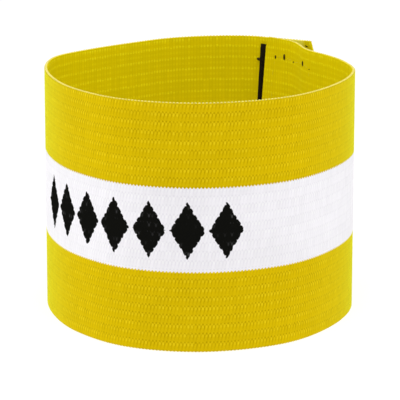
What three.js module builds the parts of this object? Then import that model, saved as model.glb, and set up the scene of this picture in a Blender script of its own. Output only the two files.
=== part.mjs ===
// A captain's armband: a strip of wide woven elastic that goes once round the upper arm
// and closes at the back with a hook pad and a loop pad.
// Millimetres, +Z up. The band stands on its lower rim, as it does off the arm, and the arm
// goes through it along Z. -Y is the front. The origin is the middle of the loop's outline,
// on the surface that the band stands on.
import * as THREE from 'three';

// The webbing
const bandHeight = 75;
const wall = 1;
const rimRounding = 0.3;
const cornerCut = 0.9; // each end's corners are cut back by this much,
const cornerDrop = 3.2; // over this much of the height

// The loop that it stands in, over its outside
const loopWidth = 95.4;
const loopDepth = 110;

// The stretch at the back where the two ends overlap is straight. It turns this far off the X axis
const closureTurn = THREE.MathUtils.degToRad(26);
const outerTail = 21.7; // from the last bend to the outer end
const overlap = 17.15; // from the inner end to the outer end, at half the height
const holdLength = 8.6; // of the overlap, where the two pads hold each other
const innerEndRise = 1.3; // the inner end is fastened a little too high,
const riseLength = 24; // and comes down to the others' level over this length
const innerEndLean = THREE.MathUtils.degToRad(4.4); // its edge leans too

// The pads, flat: width along the band, height across it
const padMargin = 2.8; // from the webbing's rims
const padHeight = bandHeight - 2 * padMargin;
const hookPadWidth = 27.5;
const hookPadThickness = 1.4;
const hookPadInset = 1.2; // from the inner end
const loopPadWidth = 17.2;
const loopPadThickness = 1.3;
const loopPadInset = 3.1; // from the outer end
const loopPadTilt = THREE.MathUtils.degToRad(3.6); // it is sewn on a little askew
const seamGap = 0.2; // between a pad and the webbing under it
const padGap = 0.3; // between the two pads

// How finely the pieces follow the loop
const bandStep = 1.9;
const padStep = 1;
const padRows = 6;
const roundingSteps = 2;

// The bends of the webbing's middle line, from the fastened stretch of the inner end round the
// right side, the front and the left to the back. across and deep are shares of the half width
// and half depth.
const loopBends = [
  { at: 'hook pad, past the hold', across: 0.64, deep: 0.757 },
  { at: 'hook pad, unfastened half', across: 0.682, deep: 0.675 },
  { at: 'hook pad, far edge', across: 0.708, deep: 0.58 },
  { at: 'hollow beside the pad', across: 0.765, deep: 0.475 },
  { at: 'right, behind', across: 0.86, deep: 0.35 },
  { at: 'right, towards the back', across: 0.942, deep: 0.2 },
  { at: 'right side', across: 1, deep: -0.08 },
  { at: 'right, in front', across: 0.865, deep: -0.48 },
  { at: 'front, right of the middle', across: 0.545, deep: -0.835 },
  { at: 'front', across: 0.03, deep: -1 },
  { at: 'front, left of the middle', across: -0.45, deep: -0.905 },
  { at: 'left, in front', across: -0.78, deep: -0.615 },
  { at: 'left, towards the front', across: -0.945, deep: -0.28 },
  { at: 'left side', across: -1, deep: 0.055 },
  { at: 'left, towards the back', across: -0.95, deep: 0.315 },
  { at: 'flat stretch, its left end', across: -0.75, deep: 0.53 },
  { at: 'flat stretch, its right end', across: -0.44, deep: 0.765 },
  { at: 'back, left of the middle', across: -0.2, deep: 0.91 },
  { at: 'back', across: 0.1, deep: 0.985 },
];
const lastBend = { at: 'start of the closure', across: 0.365, deep: 0.978 };

// The lower corner of the inner end lies this far before the middle of its edge
const cornerLead = Math.tan(innerEndLean) * bandHeight / 2;

// The webbing's middle line seen from above, on one smooth curve from end to end
function middleLine() {
  const halfWidth = (loopWidth - wall) / 2;
  const halfDepth = (loopDepth - wall) / 2;
  const place = (bend) => new THREE.Vector3(bend.across * halfWidth, bend.deep * halfDepth, 0);
  const along = new THREE.Vector3(Math.cos(closureTurn), -Math.sin(closureTurn), 0);
  const inwards = new THREE.Vector3(-Math.sin(closureTurn), -Math.cos(closureTurn), 0);
  const layerSpacing = wall + 2 * seamGap + loopPadThickness + padGap + hookPadThickness;

  const start = place(lastBend);
  const outerEnd = [0, 1 / 3, 2 / 3, 1].map((share) => start.clone().addScaledVector(along, share * outerTail));
  const innerStart = start.clone().addScaledVector(inwards, layerSpacing);
  innerStart.addScaledVector(along, outerTail - overlap - cornerLead);
  const innerEnd = [0, 1 / 2, 1].map((share) => {
    return innerStart.clone().addScaledVector(along, share * (cornerLead + holdLength));
  });
  const line = new THREE.CatmullRomCurve3([...innerEnd, ...loopBends.map(place), ...outerEnd]);
  line.arcLengthDivisions = 4000;
  return line;
}

const line = middleLine();
const lineLength = line.getLength();
const bandLength = lineLength - cornerLead;

// Bends a flat geometry round the loop. In it X runs along the band from the inner end,
// Y is outwards from the webbing's middle, and Z is up from half its height. The lean of
// the inner end's edge dies away along the stretch that the pads hold.
function wrapRound(geometry) {
  const up = new THREE.Vector3(0, 0, 1);
  const flat = geometry.getAttribute('position');
  for (let i = 0; i < flat.count; i++) {
    const fade = Math.max(0, 1 - flat.getX(i) / holdLength);
    const distance = flat.getX(i) + cornerLead + fade * Math.tan(innerEndLean) * flat.getZ(i);
    const share = THREE.MathUtils.clamp(distance / lineLength, 0, 1);
    const outwards = up.clone().cross(line.getTangentAt(share)).normalize();
    const point = line.getPointAt(share).addScaledVector(outwards, flat.getY(i));
    const rise = innerEndRise * (1 - THREE.MathUtils.smoothstep(distance, 0, riseLength));
    flat.setXYZ(i, point.x, point.y, bandHeight / 2 + flat.getZ(i) + rise);
  }
  geometry.computeVertexNormals();
  return geometry;
}

// Draws the four corners of the flat webbing in towards its middle
function cutCorners(geometry) {
  const flat = geometry.getAttribute('position');
  for (let i = 0; i < flat.count; i++) {
    const toRim = bandHeight / 2 - Math.abs(flat.getZ(i));
    const cut = cornerCut * Math.max(0, 1 - toRim / cornerDrop);
    flat.setX(i, THREE.MathUtils.clamp(flat.getX(i), cut, bandLength - cut));
  }
}

// The webbing: its section, with rounded rims, drawn out along its length
function elasticBand() {
  const x = wall / 2;
  const y = bandHeight / 2;
  const r = Math.min(rimRounding, 0.45 * wall); // the roundings of the two faces never meet
  const section = new THREE.Shape();
  section.moveTo(x, -y + cornerDrop);
  section.lineTo(x, y - cornerDrop);
  section.lineTo(x, y - r);
  section.absarc(x - r, y - r, r, 0, Math.PI / 2);
  section.lineTo(-x + r, y);
  section.absarc(-x + r, y - r, r, Math.PI / 2, Math.PI);
  section.lineTo(-x, y - cornerDrop);
  section.lineTo(-x, -y + cornerDrop);
  section.lineTo(-x, -y + r);
  section.absarc(-x + r, -y + r, r, Math.PI, 1.5 * Math.PI);
  section.lineTo(x - r, -y);
  section.absarc(x - r, -y + r, r, 1.5 * Math.PI, 2 * Math.PI);
  const geometry = new THREE.ExtrudeGeometry(section, {
    depth: bandLength,
    steps: Math.round(bandLength / bandStep),
    curveSegments: roundingSteps,
    bevelEnabled: false,
  });
  // The section's X and Y become Y and Z, and the extrusion runs along X
  geometry.applyMatrix4(new THREE.Matrix4().set(0, 0, 1, 0, 1, 0, 0, 0, 0, 1, 0, 0, 0, 0, 0, 1));
  cutCorners(geometry);
  return wrapRound(geometry);
}

// A pad lying on one face of the webbing. side is 1 for the outside and -1 for the inside
function pad({ middle, width, thickness, tilt, side }) {
  const geometry = new THREE.BoxGeometry(width, thickness, padHeight, Math.round(width / padStep), 1, padRows);
  geometry.rotateY(tilt);
  geometry.translate(middle, side * (wall / 2 + seamGap + thickness / 2), 0);
  return wrapRound(geometry);
}

const webbingYellow = new THREE.MeshStandardMaterial({ color: 0xdcc400, roughness: 0.75, metalness: 0 });
const hookBlack = new THREE.MeshStandardMaterial({ color: 0x17150f, roughness: 0.6, metalness: 0 });
const loopBlack = new THREE.MeshStandardMaterial({ color: 0x1c1912, roughness: 0.95, metalness: 0 });

const band = new THREE.Mesh(elasticBand(), webbingYellow);
band.name = 'elastic_band';

const hookPad = new THREE.Mesh(
  pad({
    middle: hookPadInset + hookPadWidth / 2,
    width: hookPadWidth,
    thickness: hookPadThickness,
    tilt: 0,
    side: 1,
  }),
  hookBlack,
);
hookPad.name = 'hook_pad';

const loopPad = new THREE.Mesh(
  pad({
    middle: bandLength - loopPadInset - loopPadWidth / 2,
    width: loopPadWidth,
    thickness: loopPadThickness,
    tilt: loopPadTilt,
    side: -1,
  }),
  loopBlack,
);
loopPad.name = 'loop_pad';

const armband = new THREE.Group();
armband.add(band, hookPad, loopPad);

// The outline's middle goes to the origin, and the lower rim to the surface under it
const outline = new THREE.Box3().setFromObject(armband);
const middle = outline.getCenter(new THREE.Vector3());
armband.position.set(-middle.x, -middle.y, -outline.min.z);

export default armband;
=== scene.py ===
# Captain's armband: wide woven elastic in three stripes, standing on its lower rim, and closed
# at the back with a hook tape and a loop tape. Metres, in the CAD frame, the front at -Y.
import math
import random

import bmesh
import bpy
import numpy as np
from mathutils import Matrix, Vector
from mathutils.geometry import interpolate_bezier


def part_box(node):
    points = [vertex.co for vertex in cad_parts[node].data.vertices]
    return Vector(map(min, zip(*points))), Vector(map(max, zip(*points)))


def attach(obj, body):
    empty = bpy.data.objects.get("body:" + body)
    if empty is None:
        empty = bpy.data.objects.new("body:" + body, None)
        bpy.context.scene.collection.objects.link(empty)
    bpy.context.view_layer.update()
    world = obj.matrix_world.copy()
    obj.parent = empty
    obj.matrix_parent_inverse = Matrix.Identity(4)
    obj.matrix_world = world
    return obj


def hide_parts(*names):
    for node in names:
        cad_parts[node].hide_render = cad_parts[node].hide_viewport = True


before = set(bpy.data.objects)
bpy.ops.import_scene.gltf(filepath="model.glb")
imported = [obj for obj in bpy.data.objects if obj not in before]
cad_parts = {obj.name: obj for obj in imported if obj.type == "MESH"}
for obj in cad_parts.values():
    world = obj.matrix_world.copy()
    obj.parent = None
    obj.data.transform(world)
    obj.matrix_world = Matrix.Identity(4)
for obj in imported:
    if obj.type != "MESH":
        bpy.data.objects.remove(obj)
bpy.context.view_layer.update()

mm = 0.001
tiny = 0.02 * mm  # nearer than this is taken as the same place


# Handling: what is picked, applied and joined

def deselectAll():
    if bpy.context.mode != "OBJECT":
        bpy.ops.object.mode_set(mode="OBJECT")
    bpy.ops.object.select_all(action="DESELECT")


def makeActive(piece):
    deselectAll()
    piece.select_set(True)
    bpy.context.view_layer.objects.active = piece


def newest(name):
    piece = bpy.context.object
    piece.name = name
    piece.data.name = name
    return piece


def edit(piece):
    makeActive(piece)
    bpy.ops.object.mode_set(mode="EDIT")
    bpy.ops.mesh.select_mode(type="VERT")
    bpy.ops.mesh.select_all(action="DESELECT")


def leaveEdit():
    bpy.ops.object.mode_set(mode="OBJECT")


def pickVerts(piece, test):  # in edit mode, the vertices whose place passes the test
    shape = bmesh.from_edit_mesh(piece.data)
    for vert in shape.verts:
        vert.select_set(bool(test(vert.co)))
    shape.select_flush(True)
    bmesh.update_edit_mesh(piece.data)


def pickEdges(piece, test):  # in edit mode, the edges whose two ends pass the test
    bpy.ops.mesh.select_mode(type="EDGE")
    shape = bmesh.from_edit_mesh(piece.data)
    for edge in shape.edges:
        edge.select_set(all(test(vert.co) for vert in edge.verts))
    bmesh.update_edit_mesh(piece.data)


def shift(x=0, y=0, z=0):
    bpy.ops.transform.translate(value=(x, y, z))


def applyModifier(piece, kind, **settings):
    makeActive(piece)
    modifier = piece.modifiers.new(kind.lower(), kind)
    for key, value in settings.items():
        setattr(modifier, key, value)
    bpy.ops.object.modifier_apply(modifier=modifier.name)


def repeat(piece, count, step, merge=True):
    applyModifier(
        piece, "ARRAY", count=count, use_relative_offset=False, use_constant_offset=True,
        constant_offset_displace=step, use_merge_vertices=merge, merge_threshold=tiny / 2)


def join(pieces, name):
    deselectAll()
    for piece in pieces:
        piece.select_set(True)
    bpy.context.view_layer.objects.active = pieces[0]
    if len(pieces) > 1:
        bpy.ops.object.join()
    return newest(name)


def copyOf(piece):
    twin = piece.copy()
    twin.data = piece.data.copy()
    bpy.context.collection.objects.link(twin)
    return twin


def applyPlace(piece):
    makeActive(piece)
    bpy.ops.object.transform_apply(location=True, rotation=True, scale=True)


def turned(piece, angle, axis):
    makeActive(piece)
    piece.data.transform(Matrix.Rotation(angle, 4, axis))


def smooth(piece, angle=None):  # faces that meet more sharply than the angle keep their edge
    makeActive(piece)
    if angle is None:
        bpy.ops.object.shade_smooth()
    else:
        bpy.ops.object.shade_smooth_by_angle(angle=math.radians(angle))


def readPlaces(piece):
    flat = np.empty(len(piece.data.vertices) * 3)
    piece.data.vertices.foreach_get("co", flat)
    return flat.reshape(-1, 3)


def writePlaces(piece, places):
    piece.data.vertices.foreach_set("co", places.ravel())
    piece.data.update()


# The bench: every piece is made flat, X along the band from its inner end, Y outwards from the
# middle of the web and Z up from half its height. Then it is bent round the loop.
# At its two ends the band's corners are cut back, by cornerCut over cornerDrop of the height,
# and what lies within cutReach of the end is drawn back with them.

band = dict(height=75 * mm, wall=1 * mm, cornerCut=0.9 * mm, cornerDrop=3.2 * mm, cutReach=4 * mm)

loop = dict(
    width=95.4 * mm, depth=110 * mm,
    closureTurn=math.radians(26), outerTail=21.7 * mm, overlap=17.15 * mm, holdLength=8.6 * mm,
    innerEndRise=1.3 * mm, riseLength=24 * mm, innerEndLean=math.radians(4.4), layerSpacing=4.4 * mm)

# Bends from the fastened stretch of the inner end round the right side, the front and the left
# to the start of the closure, as shares of the half width and half depth
loopBends = [
    (0.64, 0.757), (0.682, 0.675), (0.708, 0.58), (0.765, 0.475),  # hook pad, and the hollow beside it
    (0.86, 0.35), (0.942, 0.2), (1, -0.08), (0.865, -0.48),  # right side
    (0.545, -0.835), (0.03, -1), (-0.45, -0.905),  # front
    (-0.78, -0.615), (-0.945, -0.28), (-1, 0.055), (-0.95, 0.315),  # left side
    (-0.75, 0.53), (-0.44, 0.765),  # the flat stretch behind it
    (-0.2, 0.91), (0.1, 0.985), (0.365, 0.978)]  # back

cornerLead = math.tan(loop["innerEndLean"]) * band["height"] / 2


def loopCorners():
    halfWidth = (loop["width"] - band["wall"]) / 2
    halfDepth = (loop["depth"] - band["wall"]) / 2
    turn = loop["closureTurn"]
    along = Vector((math.cos(turn), -math.sin(turn), 0))
    inwards = Vector((-math.sin(turn), -math.cos(turn), 0))
    bends = [Vector((across * halfWidth, deep * halfDepth, 0)) for across, deep in loopBends]
    outerEnd = [bends[-1] + along * loop["outerTail"] * share for share in (1 / 3, 2 / 3, 1)]
    innerStart = bends[-1] + inwards * loop["layerSpacing"]
    innerStart += along * (loop["outerTail"] - loop["overlap"] - cornerLead)
    hold = cornerLead + loop["holdLength"]
    innerEnd = [innerStart + along * hold * share for share in (0, 1 / 2, 1)]
    return innerEnd + bends + outerEnd


def makeLoopCurve(stepsPerBend=40):  # smooth through every corner, as a centripetal spline is
    corners = loopCorners()
    padded = [2 * corners[0] - corners[1], *corners, 2 * corners[-1] - corners[-2]]
    slopes = []
    for before, here, after in zip(padded, corners, padded[2:]):
        back = math.sqrt((here - before).length)
        on = math.sqrt((after - here).length)
        slope = (here - before) / back - (after - before) / (back + on) + (after - here) / on
        slopes.append((slope * back / 3, slope * on / 3))
    path = [corners[0]]
    for start, end, (_, leaving), (arriving, _) in zip(corners, corners[1:], slopes, slopes[1:]):
        path += interpolate_bezier(start, start + leaving, end - arriving, end, stepsPerBend + 1)[1:]

    outline = bpy.data.curves.new("loopPath", "CURVE")
    outline.dimensions = "2D"
    spline = outline.splines.new("POLY")
    spline.points.add(len(path) - 1)
    for point, place in zip(spline.points, path):
        point.co = (*place, 1)
    curve = bpy.data.objects.new("loopPath", outline)
    bpy.context.collection.objects.link(curve)
    return curve, spline.calc_length()


loopCurve, pathLength = makeLoopCurve()
bandLength = pathLength - cornerLead


def smoothStep(share):
    share = np.clip(share, 0, 1)
    return share * share * (3 - 2 * share)


def bendRound(piece):  # from the bench to the loop
    places = readPlaces(piece)
    x, y, z = places.T
    toRim = band["height"] / 2 - np.abs(z)
    cut = band["cornerCut"] * np.clip(1 - toRim / band["cornerDrop"], 0, 1)
    reach = band["cutReach"]
    x = x + cut * (np.clip(1 - x / reach, 0, 1) - np.clip(1 - (bandLength - x) / reach, 0, 1))
    fade = np.clip(1 - x / loop["holdLength"], 0, 1)
    distance = x + cornerLead + fade * math.tan(loop["innerEndLean"]) * z
    rise = loop["innerEndRise"] * (1 - smoothStep(distance / loop["riseLength"]))
    writePlaces(piece, np.stack([distance, y, band["height"] / 2 + z + rise], axis=1))
    applyModifier(piece, "CURVE", object=loopCurve, deform_axis="POS_X")


def placeLoopCurve(steps=900):  # so that the wall's outline fills the CAD band's
    low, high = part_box("elastic_band")
    bpy.ops.mesh.primitive_grid_add(x_subdivisions=steps, y_subdivisions=1, size=1)
    probe = newest("outlineProbe")
    places = readPlaces(probe)
    places[:, 2] = 0
    places[:, 1] = np.sign(places[:, 1]) * band["wall"] / 2
    places[:, 0] = (places[:, 0] + 0.5) * bandLength
    writePlaces(probe, places)
    bendRound(probe)
    places = readPlaces(probe)
    middle = (places.min(axis=0) + places.max(axis=0)) / 2
    offset = ((low[0] + high[0]) / 2 - middle[0], (low[1] + high[1]) / 2 - middle[1], 0)
    loopCurve.data.transform(Matrix.Translation(offset))
    bpy.data.objects.remove(probe)


bpy.context.view_layer.update()
placeLoopCurve()
bpy.context.view_layer.update()
print("loop: the flat band is", round(bandLength / mm, 1), "mm long")


# Woven band: outside, rows of upright floats that lean a little, with a pit above each one and
# dark gaps beside its upper half; inside, a flatter web with rows of small raised knots

weave = dict(
    floatPitch=1.057 * mm, rows=27, innerRows=20, innerRise=0.65 * mm,
    rim=0.3 * mm, rimRound=0.24 * mm,  # the plain edge past the last row
    floatEnd=0.26, floatTop=0.85, lean=0.3,  # shares of the row's height, and of the float's width
    pit=0.06 * mm, knot=0.07 * mm, innerGap=0.05 * mm,
    stripeHalf=12.37 * mm, stripeMiddle=-0.46 * mm, stripeBlur=0.1 * mm, tooth=0.54 * mm)

# The lines across one float: where the grid has them, where they go, how far they lean and how
# deep the gap beside the float is there. Shares of the row and of the float's width.
floatLines = [
    dict(at=-0.25, to=weave["floatEnd"] - 0.5, lean=weave["lean"], gap=0.03 * mm),
    dict(at=0, to=0.1, lean=0.127, gap=0.06 * mm),
    dict(at=0.25, to=weave["floatTop"] - 0.5, lean=0, gap=0.1 * mm)]

floats = round(bandLength / weave["floatPitch"])
floatPitch = bandLength / floats
rowsHalf = band["height"] / 2 - weave["rim"]
rowPitch = 2 * rowsHalf / weave["rows"]
innerRowPitch = 2 * rowsHalf / weave["innerRows"]


def weaveCell(side, pitch, lines):  # one float wide and one row high; side is 1 for the outside
    bpy.ops.mesh.primitive_grid_add(
        x_subdivisions=2, y_subdivisions=lines, size=1, rotation=(-side * math.pi / 2, 0, 0),
        location=(0, side * band["wall"] / 2, 0))
    cell = newest("weaveCell")
    applyPlace(cell)
    edit(cell)
    bpy.ops.mesh.select_all(action="SELECT")
    bpy.ops.transform.resize(value=(floatPitch, 1, pitch), center_override=(0, 0, 0))
    return cell


def makeOuterColumn():
    cell = weaveCell(1, rowPitch, lines=4)
    for line in reversed(floatLines):
        pickVerts(cell, lambda co: abs(co.z - line["at"] * rowPitch) < tiny)
        shift(x=line["lean"] * floatPitch, z=(line["to"] - line["at"]) * rowPitch)
        pickVerts(cell, lambda co: (abs(co.z - line["to"] * rowPitch) < tiny
                                    and abs(co.x - line["lean"] * floatPitch) > floatPitch / 4))
        shift(y=-line["gap"])
    pickVerts(cell, lambda co: abs(co.x) < tiny and abs(co.z) > rowPitch / 2 - tiny)
    shift(y=-weave["pit"])
    leaveEdit()
    return cell


def makeInnerColumn():
    cell = weaveCell(-1, innerRowPitch, lines=2)
    pickVerts(cell, lambda co: abs(co.x) > tiny and abs(co.z) < tiny)
    shift(y=weave["innerGap"])
    pickVerts(cell, lambda co: abs(co.x) < tiny and abs(co.z) > innerRowPitch / 2 - tiny)
    shift(y=-weave["knot"])
    leaveEdit()
    return cell


def stackRows(cell, rows, pitch):
    repeat(cell, rows, (0, 0, pitch))
    cell.data.transform(Matrix.Translation((floatPitch / 2, 0, pitch / 2 - rowsHalf)))


def makeWovenBand():
    outer, inner = makeOuterColumn(), makeInnerColumn()
    stackRows(outer, weave["rows"], rowPitch)
    stackRows(inner, weave["innerRows"], innerRowPitch)
    edit(inner)
    pickVerts(inner, lambda co: abs(co.z) < rowsHalf - tiny)
    shift(z=weave["innerRise"])
    leaveEdit()
    column = join([outer, inner], "wovenBand")
    edit(column)
    for way in (-1, 1):
        pickEdges(column, lambda co: way * co.z > rowsHalf - tiny)
        bpy.ops.mesh.bridge_edge_loops(number_cuts=2)
        bpy.ops.mesh.select_mode(type="VERT")
        pickVerts(column, lambda co: way * co.z > rowsHalf - tiny and abs(co.y) < band["wall"] / 4)
        shift(z=way * weave["rimRound"])
    leaveEdit()
    repeat(column, floats, (floatPitch, 0, 0))
    edit(column)
    margin = floatPitch / 10  # the leaning lines at the two ends are drawn straight
    pickVerts(column, lambda co: co.x < weave["lean"] * floatPitch + margin)
    bpy.ops.transform.resize(value=(0, 1, 1), center_override=(0, 0, 0))
    pickVerts(column, lambda co: co.x > bandLength - margin)
    bpy.ops.transform.resize(value=(0, 1, 1), center_override=(bandLength, 0, 0))
    for end in (0, bandLength):
        pickEdges(column, lambda co: abs(co.x - end) < tiny)
        bpy.ops.mesh.edge_face_add()
        bpy.ops.mesh.quads_convert_to_tris()
    bpy.ops.mesh.select_all(action="SELECT")
    bpy.ops.mesh.normals_make_consistent(inside=False)
    leaveEdit()
    return column


def mapWeave(piece):  # one unit of the map is one float along the band and one row across it
    x, y, z = readPlaces(piece).T
    corners = np.empty(len(piece.data.loops), dtype=int)
    piece.data.loops.foreach_get("vertex_index", corners)
    rows = np.where(y < 0, (z + rowsHalf - weave["innerRise"]) / innerRowPitch, (z + rowsHalf) / rowPitch)
    places = np.stack([x / floatPitch, rows], axis=1)
    weaveMap = piece.data.uv_layers.new(name="weave")
    weaveMap.data.foreach_set("uv", places[corners].ravel())


wovenBand = makeWovenBand()
mapWeave(wovenBand)
insideFaces = [int(face.center.y < 0) for face in wovenBand.data.polygons]
bendRound(wovenBand)
smooth(wovenBand, angle=60)
print("woven band:", floats, "floats by", weave["rows"], "rows,", len(wovenBand.data.polygons), "faces")


# Selvedge: the pale loops of yarn that go over both rims, one beside each float. Their paleness is
# partly the yarn's own colour and partly a painted highlight of the light from above

selvedge = dict(width=0.38 * mm, depth=0.38 * mm, height=0.25 * mm)


def makeSelvedge():
    bpy.ops.mesh.primitive_uv_sphere_add(segments=8, ring_count=5, radius=1)
    loops = newest("selvedge")
    edit(loops)
    bpy.ops.mesh.select_all(action="SELECT")
    bpy.ops.transform.resize(
        value=(selvedge["width"], selvedge["depth"], selvedge["height"]), center_override=(0, 0, 0))
    shift(x=floatPitch / 2, z=band["height"] / 2 - selvedge["height"])
    leaveEdit()
    repeat(loops, floats, (floatPitch, 0, 0), merge=False)
    repeat(loops, 2, (0, 0, 2 * selvedge["height"] - band["height"]), merge=False)
    return loops


selvedgeLoops = makeSelvedge()
bendRound(selvedgeLoops)
smooth(selvedgeLoops)
print("selvedge:", len(selvedgeLoops.data.polygons), "faces")


# Tapes: a ribbed ground on one face of the web, with hooks or loops standing on it

tape = dict(height=69.4 * mm, seamGap=0.2 * mm, ground=0.6 * mm, ribPitch=0.5 * mm, rib=0.06 * mm)

hookTape = dict(
    start=1.2 * mm, width=27.5 * mm,
    hookPitch=1.15 * mm, rowPitch=1.35 * mm, margin=1.8 * mm,
    wire=0.09 * mm, stem=0.45 * mm, bend=0.17 * mm, turn=math.radians(215))

loopTape = dict(
    width=17.2 * mm, toEnd=3.1 * mm, tilt=math.radians(3.6), margin=0.7 * mm,
    patchWidth=3.8 * mm, patchHeight=3.43 * mm, loopsPerPatch=30, wire=0.055 * mm,
    loopRadius=0.5 * mm, sizes=(0.8, 1.25), mostLean=0.7, seed=5)


def makeGround(name, width, side):  # it lies over its own middle, its ribs on the side that shows
    columns = round(width / tape["ribPitch"])
    rows = round(tape["height"] / (2 * tape["ribPitch"]))
    bpy.ops.mesh.primitive_grid_add(
        x_subdivisions=columns, y_subdivisions=rows, size=1, rotation=(-side * math.pi / 2, 0, 0),
        location=(0, side * (band["wall"] / 2 + tape["seamGap"] + tape["ground"]), 0))
    ground = newest(name)
    applyPlace(ground)
    edit(ground)
    bpy.ops.mesh.select_all(action="SELECT")
    bpy.ops.transform.resize(value=(width, 1, tape["height"]), center_override=(0, 0, 0))
    pickVerts(ground, lambda co: round((co.x + width / 2) / width * columns) % 2 == 1)
    shift(y=-side * tape["rib"])
    leaveEdit()
    applyModifier(ground, "SOLIDIFY", thickness=tape["ground"] - tape["rib"], offset=-1)
    return ground


def makeHook(way):  # it stands on Z, and bends over along X
    bpy.ops.mesh.primitive_circle_add(vertices=5, radius=hookTape["wire"], fill_type="NGON")
    hook = newest("hook")
    edit(hook)
    bpy.ops.mesh.select_all(action="SELECT")
    bpy.ops.mesh.extrude_region_move(TRANSFORM_OT_translate={"value": (0, 0, hookTape["stem"])})
    bpy.ops.mesh.spin(
        steps=4, angle=way * hookTape["turn"], center=(way * hookTape["bend"], 0, hookTape["stem"]),
        axis=(0, 1, 0))
    bpy.ops.mesh.select_all(action="SELECT")
    bpy.ops.mesh.normals_make_consistent(inside=False)
    leaveEdit()
    turned(hook, -math.pi / 2, "X")
    return hook


def makeHookTape():
    pitch, rowStep = hookTape["hookPitch"], hookTape["rowPitch"]
    columns = int((hookTape["width"] - 2 * hookTape["margin"]) / (2 * pitch))
    rows = int((tape["height"] - hookTape["margin"]) / rowStep)
    there, back = makeHook(1), makeHook(-1)
    back.data.transform(Matrix.Translation((pitch, 0, rowStep / 2)))
    hooks = join([there, back], "hooks")
    repeat(hooks, columns, (2 * pitch, 0, 0), merge=False)
    repeat(hooks, rows, (0, 0, rowStep), merge=False)
    out = band["wall"] / 2 + tape["seamGap"] + tape["ground"] - tape["rib"]
    hooks.data.transform(Matrix.Translation((
        -(columns - 0.5) * pitch, out - hookTape["wire"], -(rows - 0.5) * rowStep / 2)))
    piece = join([makeGround("hookTape", hookTape["width"], side=1), hooks], "hookTape")
    piece.data.transform(Matrix.Translation((hookTape["start"] + hookTape["width"] / 2, 0, 0)))
    return piece


def makePileLoop():  # half a ring standing on Z, closed at its feet
    bpy.ops.mesh.primitive_torus_add(
        major_segments=8, minor_segments=3, major_radius=loopTape["loopRadius"],
        minor_radius=loopTape["wire"], rotation=(math.pi / 2, 0, 0))
    ring = newest("pileLoop")
    applyPlace(ring)
    edit(ring)
    bpy.ops.mesh.select_all(action="SELECT")
    bpy.ops.mesh.bisect(
        plane_co=(0, 0, tiny / 2), plane_no=(0, 0, 1), use_fill=True, clear_inner=True)
    leaveEdit()
    return ring


def makeLoopTape():
    chance = random.Random(loopTape["seed"])
    model = makePileLoop()
    pile = []
    for _ in range(loopTape["loopsPerPatch"]):
        one = copyOf(model)
        size = chance.uniform(*loopTape["sizes"])
        place = Matrix.Translation((
            chance.uniform(0, loopTape["patchWidth"]), chance.uniform(0, loopTape["patchHeight"]), 0))
        lean = Matrix.Rotation(chance.uniform(-loopTape["mostLean"], loopTape["mostLean"]), 4, "X")
        one.data.transform(place @ Matrix.Rotation(chance.uniform(0, math.pi), 4, "Z") @ lean)
        one.data.transform(Matrix.Diagonal((1, 1, size, 1)))
        pile.append(one)
    bpy.data.objects.remove(model)
    patch = join(pile, "pile")
    columns = int((loopTape["width"] - 2 * loopTape["margin"]) / loopTape["patchWidth"])
    rows = int((tape["height"] - 2 * loopTape["margin"]) / loopTape["patchHeight"])
    repeat(patch, columns, (loopTape["patchWidth"], 0, 0), merge=False)
    repeat(patch, rows, (0, loopTape["patchHeight"], 0), merge=False)
    turned(patch, math.pi / 2, "X")
    out = band["wall"] / 2 + tape["seamGap"] + tape["ground"] - tape["rib"]
    patch.data.transform(Matrix.Translation((
        -columns * loopTape["patchWidth"] / 2, -out, -rows * loopTape["patchHeight"] / 2)))
    piece = join([makeGround("loopTape", loopTape["width"], side=-1), patch], "loopTape")
    middle = bandLength - loopTape["toEnd"] - loopTape["width"] / 2
    turned(piece, loopTape["tilt"], "Y")
    piece.data.transform(Matrix.Translation((middle, 0, 0)))
    return piece


hookPiece = makeHookTape()
bendRound(hookPiece)
loopPiece = makeLoopTape()
bendRound(loopPiece)
for piece in (hookPiece, loopPiece):
    smooth(piece, angle=50)
    print(piece.name + ":", len(piece.data.polygons), "faces")


# Seams: lock stitches round each tape, yellow and sunk in the web, with dark specks of the bobbin
# thread at the needle holes

seam = dict(
    thread=0.16 * mm, stitchGap=0.5 * mm, sunk=0.09 * mm, inset=1.5 * mm,
    hole=(0.38 * mm, 0.3 * mm, 0.7 * mm), speckSizes=(0.4, 1.3), faintest=0.15, narrowest=0.4)

# The top row of the hook tape's seam is listed: along and up in mm, and the speck's size
hookSeam = dict(
    side=-1, middle=15.5 * mm, width=23 * mm, high=31.7 * mm, low=-32 * mm, tilt=0, across=5, down=17,
    wobble=0.3 * mm, specks=0.1, seed=3,
    top=[
        (5, 31.1, 0.9), (9.2, 31.6, 1.5), (13.5, 30.8, 0.35),
        (18, 31.7, 0), (22.7, 32.3, 1.4), (27.4, 31.3, 0.2)])

loopSeam = dict(
    side=1, middle=bandLength - loopTape["toEnd"] - loopTape["width"] / 2,
    width=loopTape["width"] - 2 * seam["inset"], high=33 * mm, low=-33 * mm, tilt=loopTape["tilt"],
    across=4, down=17, wobble=0.2 * mm, specks=0.4, seed=8, top=[])

# dark beads: a loose end of the bobbin thread beside the loop tape, and a dark spot on the inside
# of the outer end, near its upper corner where the two layers meet
darkBeads = [
    dict(place=(bandLength - 18.9 * mm, -1.2 * mm, 30 * mm), size=(0.8 * mm, 0.4 * mm, 0.5 * mm)),
    dict(place=(bandLength - 2 * mm, -0.5 * mm, 35.6 * mm), size=(0.6 * mm, 0.2 * mm, 0.2 * mm))]
darkBeadTurn = math.radians(12)


def makeBead(size, place, angle=0):
    bpy.ops.mesh.primitive_uv_sphere_add(segments=8, ring_count=6, radius=1)
    bead = newest("bead")
    bead.data.transform(
        Matrix.Translation(place) @ Matrix.Rotation(angle, 4, "Y") @ Matrix.Diagonal((*size, 1)))
    return bead


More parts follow.
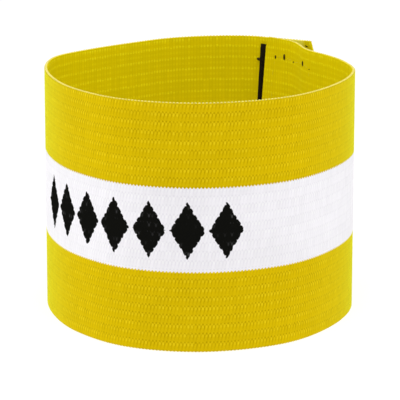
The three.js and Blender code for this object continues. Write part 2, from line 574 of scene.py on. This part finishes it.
def needleHoles(plan):  # round the tape from its top left corner, each with its speck's size
    chance = random.Random(plan["seed"])
    left, right = -plan["width"] / 2, plan["width"] / 2
    high, low, across, down = plan["high"], plan["low"], plan["across"], plan["down"]
    acrossTop = [(left + (right - left) * i / across, high) for i in range(across)]
    rightSide = [(right, high + (low - high) * i / down) for i in range(down)]
    acrossFoot = [(right + (left - right) * i / across, low) for i in range(across)]
    leftSide = [(left, low + (high - low) * i / down) for i in range(down)]
    holes = []
    for x, z in acrossTop + rightSide + acrossFoot + leftSide:
        x += plan["middle"] + math.tan(plan["tilt"]) * z + chance.uniform(-1, 1) * plan["wobble"]
        z += chance.uniform(-1, 1) * plan["wobble"]
        holes.append((x, z, plan["specks"] * chance.uniform(*seam["speckSizes"])))
    for i, (x, z, speck) in enumerate(plan["top"]):
        holes[i] = (x * mm, z * mm, speck)
    return holes


def makeSeam(plan, name):
    holes = needleHoles(plan)
    surface = plan["side"] * (band["wall"] / 2 - seam["sunk"])
    stitches, specks = [], []
    for (x, z, speck), (nextX, nextZ, _) in zip(holes, holes[1:] + holes[:1]):
        length = math.hypot(nextX - x, nextZ - z)
        angle = math.atan2(x - nextX, z - nextZ) + math.pi / 2
        middle = ((x + nextX) / 2, surface, (z + nextZ) / 2)
        size = (length / 2 - seam["stitchGap"], seam["thread"], seam["thread"])
        stitches.append(makeBead(size, middle, angle))
        if speck > seam["faintest"]:
            width, depth, height = seam["hole"]
            width *= seam["narrowest"] + (1 - seam["narrowest"]) * min(speck, 1)
            place = (x, plan["side"] * band["wall"] / 2, z)
            specks.append(makeBead((width, depth, height * speck), place))
    return join(stitches, name + "Thread"), join(specks, name + "Specks")


hookThread, hookSpecks = makeSeam(hookSeam, "hookSeam")
loopThread, loopSpecks = makeSeam(loopSeam, "loopSeam")
darkBeadPieces = [makeBead(end["size"], end["place"], darkBeadTurn) for end in darkBeads]
stitching = join([hookThread, loopThread], "stitching")
bobbinThread = join([hookSpecks, loopSpecks, *darkBeadPieces], "bobbinThread")
for piece in (stitching, bobbinThread):
    bendRound(piece)
    smooth(piece)
print("seams:", len(stitching.data.polygons) + len(bobbinThread.data.polygons), "faces")


# Materials

def newMaterial(name, colour=(0.5, 0.5, 0.5), roughness=0.8):
    material = bpy.data.materials.new(name)
    material.use_nodes = True
    tree = material.node_tree
    shader = tree.nodes["Principled BSDF"]
    shader.inputs["Base Color"].default_value = (*colour, 1)
    shader.inputs["Roughness"].default_value = roughness
    return material, tree, shader


def calc(tree, operation, *values, clamp=False):
    step = tree.nodes.new("ShaderNodeMath")
    step.operation = operation
    step.use_clamp = clamp
    for socket, value in zip(step.inputs, values):
        if isinstance(value, (int, float)):
            socket.default_value = value
        else:
            tree.links.new(value, socket)
    return step.outputs[0]


def product(tree, first, *others):
    for other in others:
        first = calc(tree, "MULTIPLY", first, other)
    return first


def ramp(tree, value, low, high, start=0, end=1):  # eased, from low to high
    step = tree.nodes.new("ShaderNodeMapRange")
    step.interpolation_type = "SMOOTHSTEP"
    tree.links.new(value, step.inputs["Value"])
    for socket, amount in zip(("From Min", "From Max", "To Min", "To Max"), (low, high, start, end)):
        step.inputs[socket].default_value = amount
    return step.outputs["Result"]


def blend(tree, share, first, second, way="MIX"):  # either colour may be a socket or three numbers
    step = tree.nodes.new("ShaderNodeMix")
    step.data_type = "RGBA"
    step.blend_type = way
    factor, one, other = step.inputs["Factor"], step.inputs[6], step.inputs[7]
    for socket, value in ((factor, share), (one, first), (other, second)):
        if isinstance(value, tuple):
            socket.default_value = (*value, 1)
        elif isinstance(value, (int, float)):
            socket.default_value = value
        else:
            tree.links.new(value, socket)
    return step.outputs[2]


def grey(tree, value):  # a number as a colour
    step = tree.nodes.new("ShaderNodeCombineColor")
    for socket in step.inputs:
        tree.links.new(value, socket)
    return step.outputs[0]


def noise(tree, scale, detail=2):
    step = tree.nodes.new("ShaderNodeTexNoise")
    step.inputs["Scale"].default_value = scale
    step.inputs["Detail"].default_value = detail
    tree.links.new(tree.nodes.new("ShaderNodeTexCoord").outputs["Object"], step.inputs["Vector"])
    return step.outputs["Fac"]


def chanceAt(tree, *numbers):  # the same random number wherever the numbers are the same
    place = tree.nodes.new("ShaderNodeCombineXYZ")
    for socket, value in zip(place.inputs, numbers):
        if isinstance(value, (int, float)):
            socket.default_value = value
        else:
            tree.links.new(value, socket)
    step = tree.nodes.new("ShaderNodeTexWhiteNoise")
    tree.links.new(place.outputs[0], step.inputs["Vector"])
    return step.outputs["Value"]


def bump(tree, shader, height, strength, distance):
    step = tree.nodes.new("ShaderNodeBump")
    step.inputs["Strength"].default_value = strength
    step.inputs["Distance"].default_value = distance
    tree.links.new(height, step.inputs["Height"])
    tree.links.new(step.outputs["Normal"], shader.inputs["Normal"])


def fromWhole(tree, value):  # how far a number is from the nearest whole one
    return calc(tree, "PINGPONG", value, 0.5)


def toEdge(tree, along):  # 0 on a float's axis, 1 at its edges
    return calc(tree, "SUBTRACT", 1, calc(tree, "MULTIPLY", fromWhole(tree, along), 2))


def spot(tree, across, along, halfWidth, halfHeight, edge=(1.4, 0.2)):  # 1 in an oval, 0 outside it
    across = calc(tree, "POWER", calc(tree, "DIVIDE", across, halfWidth), 2)
    along = calc(tree, "POWER", calc(tree, "DIVIDE", along, halfHeight), 2)
    return ramp(tree, calc(tree, "ADD", across, along), *edge)


def vary(tree, share, least, spread):  # the least, and a share of the spread
    return calc(tree, "MULTIPLY_ADD", share, spread, least)


# Each cloth colour has a darker copy, painted shade for the pits and gaps, and a lighter copy, painted
# highlight for the crests and knots
cloth = dict(
    yellow=(0.69, 0.487, 0.002), yellowPaintedShade=(0.5, 0.335, 0), yellowPaintedHighlight=(0.79, 0.585, 0.008),
    # the inside's yellows are painted lighter than the outside's, to make up for the shade inside the loop
    innerYellowPaintedLight=(0.78, 0.625, 0.001), innerPaintedShade=(0.6, 0.465, 0), innerPaintedHighlight=(0.9, 0.78, 0.008),
    white=(0.89, 0.87, 0.91), whitePaintedShade=(0.81, 0.785, 0.84), whitePaintedHighlight=(0.92, 0.91, 0.93),
    # painted light: the pale colour the inside takes under the outer end's rim
    paintedRimLight=(0.96, 0.9, 0.12), print=(0.006, 0.006, 0.005),
    roughness=0.85, printRoughness=0.65, napRoughness=0.35,
    yellowSheen=(0.85, 1, 0.06), whiteSheen=(0.1, 0.1, 0.1), outerSheen=0.9, innerSheen=0.15,
    filaments=6, filamentHeight=0.5, fuzz=2600, reliefStrength=0.3, reliefDepth=0.03 * mm)

# Where the weave is painted dark or light: painted shade in the pits and in the gaps beside the floats,
# painted highlights on the crests and between the pits. Ovals have a half width in floats and a half
# height in rows. Gaps begin and end at shares of the float's width or of the row.
outerShadeAndHighlight = dict(
    gapFrom=0.4, gapFoot=(0.1, 0.7), gapLeast=0.2, gapHead=(0.98, 0.88), pit=(0.27, 0.15),
    crestAt=0.76, crest=(0.3, 0.2), between=(0.24, 0.14), betweenShare=0.6)

# the inside: painted shade in the gaps, painted highlights on the knots
innerShadeAndHighlight = dict(
    gapFrom=0.5, gapShare=0.25, knot=(0.4, 0.14), faintKnot=(0.4, 0.12), faintShare=0.35,
    rimRow=1 * mm, rimKnot=(0.4, 0.5 * mm))

# How uneven floats, rows and the whole band are: the least, and what chance adds to it. The first two
# set how strong each float's painted shade and painted highlight are; the tones are the yarn's own
uneven = dict(
    deep=(0.5, 0.6), high=(0.2, 0.9), floatTone=(0.965, 0.04), rowTone=(0.985, 0.03),
    bandTone=(0.95, 0.1), bandScale=45)

# Painted light: the inside of the web is painted pale under the rim near the outer end, where light
# from above catches that end's rim. Counted in floats from that end
paintedRimLightPlace = dict(rises=(9, 7), falls=(2, 4), height=(31 * mm, 34 * mm), share=0.7)

# The row of plain black lozenges printed on the front of the white stripe. Their edges follow
# the floats in part, as steps and teeth, and some floats take less of the print
lozenges = dict(
    count=7, start=123.2 * mm, pitch=11.45 * mm, width=10.5 * mm, height=17.4 * mm, middle=-0.6 * mm,
    steps=0.4, ragged=0.03, teeth=0.04, blur=0.03, thinFrom=0.6, thinnest=0.04)


def lozengeMask(tree, u, column, acrossFloat, height):
    steps = lozenges["steps"]
    place = calc(tree, "ADD", product(tree, u, 1 - steps), product(tree, column, steps))
    along = product(tree, calc(tree, "ADD", place, steps / 2), floatPitch / lozenges["pitch"])
    along = calc(tree, "SUBTRACT", along, lozenges["start"] / lozenges["pitch"])
    each = calc(tree, "FLOOR", along)
    offset = calc(tree, "ABSOLUTE", calc(tree, "SUBTRACT", calc(tree, "FRACT", along), 0.5))
    offset = product(tree, offset, 2 * lozenges["pitch"] / lozenges["width"])
    height = calc(tree, "SUBTRACT", height, lozenges["middle"])
    height = calc(tree, "DIVIDE", calc(tree, "ABSOLUTE", height), lozenges["height"] / 2)
    ragged = product(tree, chanceAt(tree, column, 7.5, 0), lozenges["ragged"])
    teeth = product(tree, acrossFloat, lozenges["teeth"])
    reach = calc(tree, "ADD", calc(tree, "ADD", offset, height), calc(tree, "ADD", ragged, teeth))
    inside = ramp(tree, reach, 1 + lozenges["blur"], 1)
    pastFirst = calc(tree, "GREATER_THAN", each, -0.5)
    beforeLast = calc(tree, "LESS_THAN", each, lozenges["count"] - 0.5)
    return product(tree, inside, product(tree, pastFirst, beforeLast))


# painted shade in the pits and the gaps, and painted highlights on the crests and between the pits
def outerPaintedShading(tree, u, v, upFloat, fromAxis):  # the gaps lean with the floats, and end in the pits
    rising = calc(tree, "DIVIDE", upFloat, weave["floatEnd"])
    falling = calc(tree, "SUBTRACT", weave["floatTop"], upFloat)
    falling = calc(tree, "DIVIDE", falling, weave["floatTop"] - weave["floatEnd"])
    leaning = calc(tree, "MINIMUM", rising, falling, clamp=True)
    straight = calc(tree, "MULTIPLY_ADD", leaning, -weave["lean"], u)
    acrossFloat = toEdge(tree, straight)
    gap = product(
        tree, ramp(tree, acrossFloat, outerShadeAndHighlight["gapFrom"], 1),
        ramp(tree, upFloat, *outerShadeAndHighlight["gapFoot"], outerShadeAndHighlight["gapLeast"], 1),
        ramp(tree, upFloat, *outerShadeAndHighlight["gapHead"]))
    pit = spot(tree, fromAxis, fromWhole(tree, v), *outerShadeAndHighlight["pit"])
    fromCrest = calc(tree, "SUBTRACT", upFloat, outerShadeAndHighlight["crestAt"])
    crest = spot(tree, fromAxis, fromCrest, *outerShadeAndHighlight["crest"])
    between = spot(tree, fromWhole(tree, u), fromWhole(tree, v), *outerShadeAndHighlight["between"])
    high = calc(tree, "MAXIMUM", crest, product(tree, between, outerShadeAndHighlight["betweenShare"]))
    return calc(tree, "FLOOR", straight), acrossFloat, calc(tree, "MAXIMUM", pit, gap), high


# painted highlights on the inside's knots, and painted shade in the gaps beside the floats
def innerPaintedShading(tree, u, v, fromAxis, height):  # a row of knots, a fainter one, and one at each rim
    acrossFloat = toEdge(tree, u)
    deep = product(tree, ramp(tree, acrossFloat, innerShadeAndHighlight["gapFrom"], 1), innerShadeAndHighlight["gapShare"])
    knots = spot(tree, fromAxis, fromWhole(tree, v), *innerShadeAndHighlight["knot"])
    rimRow = band["height"] / 2 - innerShadeAndHighlight["rimRow"]
    toRimRow = calc(tree, "SUBTRACT", rimRow, calc(tree, "ABSOLUTE", height))
    knots = calc(tree, "MAXIMUM", knots, spot(tree, fromAxis, toRimRow, *innerShadeAndHighlight["rimKnot"]))
    betweenRows = fromWhole(tree, calc(tree, "ADD", v, 0.5))
    faint = spot(tree, fromAxis, betweenRows, *innerShadeAndHighlight["faintKnot"])
    high = calc(tree, "MAXIMUM", knots, product(tree, faint, innerShadeAndHighlight["faintShare"]))
    return calc(tree, "FLOOR", u), acrossFloat, deep, high


def stripeMask(tree, height, acrossFloat):  # 1 on the white, with small teeth where it meets the yellow
    toMiddle = calc(tree, "ABSOLUTE", calc(tree, "SUBTRACT", height, weave["stripeMiddle"]))
    toMiddle = calc(tree, "SUBTRACT", toMiddle, product(tree, acrossFloat, weave["tooth"]))
    half, blur = weave["stripeHalf"], weave["stripeBlur"]
    return ramp(tree, toMiddle, half + blur, half - blur)


# where the inside is painted pale, as light from above on the outer end's rim
def paintedRimLightMask(tree, u, height):
    rising = ramp(tree, u, *(floats - count for count in paintedRimLightPlace["rises"]))
    falling = ramp(tree, u, *(floats - count for count in paintedRimLightPlace["falls"]))
    return product(tree, rising, falling, ramp(tree, height, *paintedRimLightPlace["height"], 0, paintedRimLightPlace["share"]))


def unevenTone(tree, column, row):  # of each float, each row and the whole band
    return product(
        tree, vary(tree, chanceAt(tree, column, row, 0), *uneven["floatTone"]),
        vary(tree, chanceAt(tree, row, 3.5, 1), *uneven["rowTone"]),
        vary(tree, noise(tree, uneven["bandScale"], detail=3), *uneven["bandTone"]))


def makeCloth(name, outside):
    material, tree, shader = newMaterial(name, roughness=cloth["roughness"])
    weaveMap = tree.nodes.new("ShaderNodeUVMap")
    weaveMap.uv_map = "weave"
    split = tree.nodes.new("ShaderNodeSeparateXYZ")
    tree.links.new(weaveMap.outputs[0], split.inputs[0])
    u, v = split.outputs["X"], split.outputs["Y"]
    fromAxis = fromWhole(tree, calc(tree, "ADD", u, 0.5))
    row = calc(tree, "FLOOR", v)
    if outside:
        height = calc(tree, "MULTIPLY_ADD", v, rowPitch, -rowsHalf)
        paintedShading = outerPaintedShading(tree, u, v, calc(tree, "FRACT", v), fromAxis)
        yellows = ("yellow", "yellowPaintedShade", "yellowPaintedHighlight")
    else:
        height = calc(tree, "MULTIPLY_ADD", v, innerRowPitch, weave["innerRise"] - rowsHalf)
        paintedShading = innerPaintedShading(tree, u, v, fromAxis, height)
        yellows = ("innerYellowPaintedLight", "innerPaintedShade", "innerPaintedHighlight")

    # the painted shade of every pit and gap and the painted highlight of every float are a little
    # weaker or stronger than the next
    column, acrossFloat, deep, high = paintedShading
    deep = product(tree, deep, vary(tree, chanceAt(tree, column, row, 5), *uneven["deep"]))
    high = product(tree, high, vary(tree, chanceAt(tree, column, row, 6), *uneven["high"]))

    # the yarn's colours, darkened by painted shade and lightened by painted highlights
    middling, paintedShadeYellow, paintedHighlightYellow = (cloth[yellow] for yellow in yellows)
    yellow = blend(tree, high, blend(tree, deep, middling, paintedShadeYellow), paintedHighlightYellow)
    white = blend(tree, high, blend(tree, deep, cloth["white"], cloth["whitePaintedShade"]), cloth["whitePaintedHighlight"])
    isWhite = stripeMask(tree, height, acrossFloat)
    colour = blend(tree, isWhite, yellow, white)
    nap = blend(tree, isWhite, cloth["yellowSheen"], cloth["whiteSheen"])
    # painted light: the inside is made pale under the outer end's rim
    if not outside:
        colour = blend(tree, paintedRimLightMask(tree, u, height), colour, cloth["paintedRimLight"])
    colour = blend(tree, 1.0, colour, grey(tree, unevenTone(tree, column, row)), "MULTIPLY")

    if outside:  # the print dulls the nap
        ink = lozengeMask(tree, u, column, acrossFloat, height)
        thin = ramp(tree, chanceAt(tree, column, row, 9), lozenges["thinFrom"], 1, 0, lozenges["thinnest"])
        ink = calc(tree, "SUBTRACT", ink, product(tree, ink, product(tree, high, thin)))
        colour = blend(tree, ink, colour, cloth["print"])
        nap = blend(tree, ink, nap, (0.0, 0.0, 0.0))
        roughness = vary(tree, ink, cloth["roughness"], cloth["printRoughness"] - cloth["roughness"])
        tree.links.new(roughness, shader.inputs["Roughness"])

    tree.links.new(colour, shader.inputs["Base Color"])
    tree.links.new(nap, shader.inputs["Sheen Tint"])
    shader.inputs["Sheen Weight"].default_value = cloth["outerSheen" if outside else "innerSheen"]
    shader.inputs["Sheen Roughness"].default_value = cloth["napRoughness"]
    shader.inputs["Specular IOR Level"].default_value = 0

    # the filaments of the yarn run up each float
    filaments = calc(tree, "SINE", product(tree, u, 2 * math.pi * cloth["filaments"]))
    filaments = product(tree, filaments, cloth["filamentHeight"])
    grain = calc(tree, "ADD", filaments, noise(tree, cloth["fuzz"]))
    bump(tree, shader, grain, cloth["reliefStrength"], cloth["reliefDepth"])
    return material


def makeYarn(name, colour, roughness, twist=900, shade=0.25, sheen=0.0, specular=0.2):
    material, tree, shader = newMaterial(name, colour, roughness)
    grain = noise(tree, twist, detail=3)
    tone = calc(tree, "MULTIPLY_ADD", grain, 2 * shade, 1 - shade)
    tree.links.new(blend(tree, 1.0, colour, grey(tree, tone), "MULTIPLY"), shader.inputs["Base Color"])
    shader.inputs["Sheen Weight"].default_value = sheen
    shader.inputs["Specular IOR Level"].default_value = specular
    bump(tree, shader, grain, strength=0.4, distance=0.05 * mm)
    return material


outerCloth = makeCloth("wovenOuter", outside=True)
innerCloth = makeCloth("wovenInner", outside=False)
# the selvedge's yarn: paler partly by its own colour and partly by painted highlight
paleAndLitYarn = makeYarn("selvedgeYarn", (0.87, 0.77, 0.17), 0.6, sheen=0.15)
hookNylon = makeYarn("hookNylon", (0.012, 0.01, 0.007), 0.38, shade=0.35, specular=0.4)
loopNylon = makeYarn("loopNylon", (0.013, 0.009, 0.004), 0.85, shade=0.4, specular=0.1)
yellowThread = makeYarn("yellowThread", (0.72, 0.59, 0.01), 0.7, twist=1800)
blackThread = makeYarn("blackThread", (0.05, 0.035, 0.004), 0.7, twist=1800, specular=0.1)

# the band's outside takes the printed cloth, and its inside the plain one
wovenBand.data.materials.append(outerCloth)
wovenBand.data.materials.append(innerCloth)
wovenBand.data.polygons.foreach_set("material_index", insideFaces)

# each piece, its material (the band has its two), its slot and the CAD node that it replaces
pieces = [
    (selvedgeLoops, paleAndLitYarn, "elastic_yellow", None),
    (stitching, yellowThread, "elastic_yellow", None),
    (bobbinThread, blackThread, "hook_tape_black", None),
    (hookPiece, hookNylon, "hook_tape_black", "hook_pad"),
    (loopPiece, loopNylon, "loop_tape_black", "loop_pad"),
    (wovenBand, None, "elastic_yellow", "elastic_band")]

for piece, material, slot, node in pieces:
    if material:
        piece.data.materials.clear()
        piece.data.materials.append(material)
    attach(piece, "root")
    if node:
        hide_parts(node)

bpy.data.objects.remove(loopCurve)
print("materials and pieces are set")


# Floor, light and camera

studio = dict(
    floor=3.2, floorColour=(0.25, 0.25, 0.25), world=0.57,
    glowInside=0.36, glowOutside=0.8, insideReach=0.038, outsideFrom=0.0475)

lights = [
    dict(name="leftSide", place=(-0.9, 0.05, 0.35), size=0.7, power=2.7, colour=(0.97, 1, 0.95)),
    dict(name="rightSide", place=(0.9, 0.05, 0.35), size=0.7, power=2.1, colour=(0.97, 1, 0.95)),
    dict(name="above", place=(0, -0.42, 1.06), size=0.8, power=5.8, colour=(1, 1, 1))]
lightTarget = Vector((0, 0, 0.04))

# The focal length is in pixels of a picture frame pixels wide, and the sensor is in millimetres
view = dict(
    location=(0.0016, -0.80007, 0.22998), pitch=0.2417, yaw=0.0017, roll=0.0009,
    focalPixels=2649.11, frame=400, sensor=36)

# the floor glows softly, a painted light: less inside the loop, as painted shade, than round it,
# where the glow hides the band's shadow on the floor
bpy.ops.mesh.primitive_plane_add(size=studio["floor"])
floor = newest("floor")
floorPaint, floorTree, floorShader = newMaterial("floorPaint", studio["floorColour"], roughness=0.9)
floorShader.inputs["Emission Color"].default_value = (1, 1, 1, 1)
reach = floorTree.nodes.new("ShaderNodeVectorMath")
reach.operation = "LENGTH"
floorTree.links.new(floorTree.nodes.new("ShaderNodeTexCoord").outputs["Object"], reach.inputs[0])
glow = ramp(
    floorTree, reach.outputs["Value"], studio["insideReach"], studio["outsideFrom"],
    studio["glowInside"], studio["glowOutside"])
floorTree.links.new(glow, floorShader.inputs["Emission Strength"])
floor.data.materials.append(floorPaint)

world = bpy.data.worlds.new("studio")
bpy.context.scene.world = world
world.use_nodes = True
world.node_tree.nodes["Background"].inputs["Color"].default_value = (1, 1, 1, 1)
world.node_tree.nodes["Background"].inputs["Strength"].default_value = studio["world"]


def softLight(name, place, size, power, colour):
    data = bpy.data.lights.new(name, "AREA")
    data.shape = "SQUARE"
    data.size = size
    data.energy = power
    data.color = colour
    light = bpy.data.objects.new(name, data)
    light.location = place
    light.rotation_euler = (lightTarget - Vector(place)).to_track_quat("-Z", "Y").to_euler()
    bpy.context.collection.objects.link(light)


for light in lights:
    softLight(**light)

cameraData = bpy.data.cameras.new("camera")
cameraData.sensor_width = view["sensor"]
cameraData.lens = view["focalPixels"] / view["frame"] * view["sensor"]
camera = bpy.data.objects.new("camera", cameraData)
bpy.context.collection.objects.link(camera)
turn = Matrix.Rotation(view["yaw"], 4, "Z") @ Matrix.Rotation(math.pi / 2 - view["pitch"], 4, "X")
camera.matrix_world = Matrix.Translation(view["location"]) @ turn @ Matrix.Rotation(view["roll"], 4, "Z")
bpy.context.scene.camera = camera
bpy.context.scene.view_settings.view_transform = "Standard"
print("studio: floor,", len(lights), "lights and camera are set")
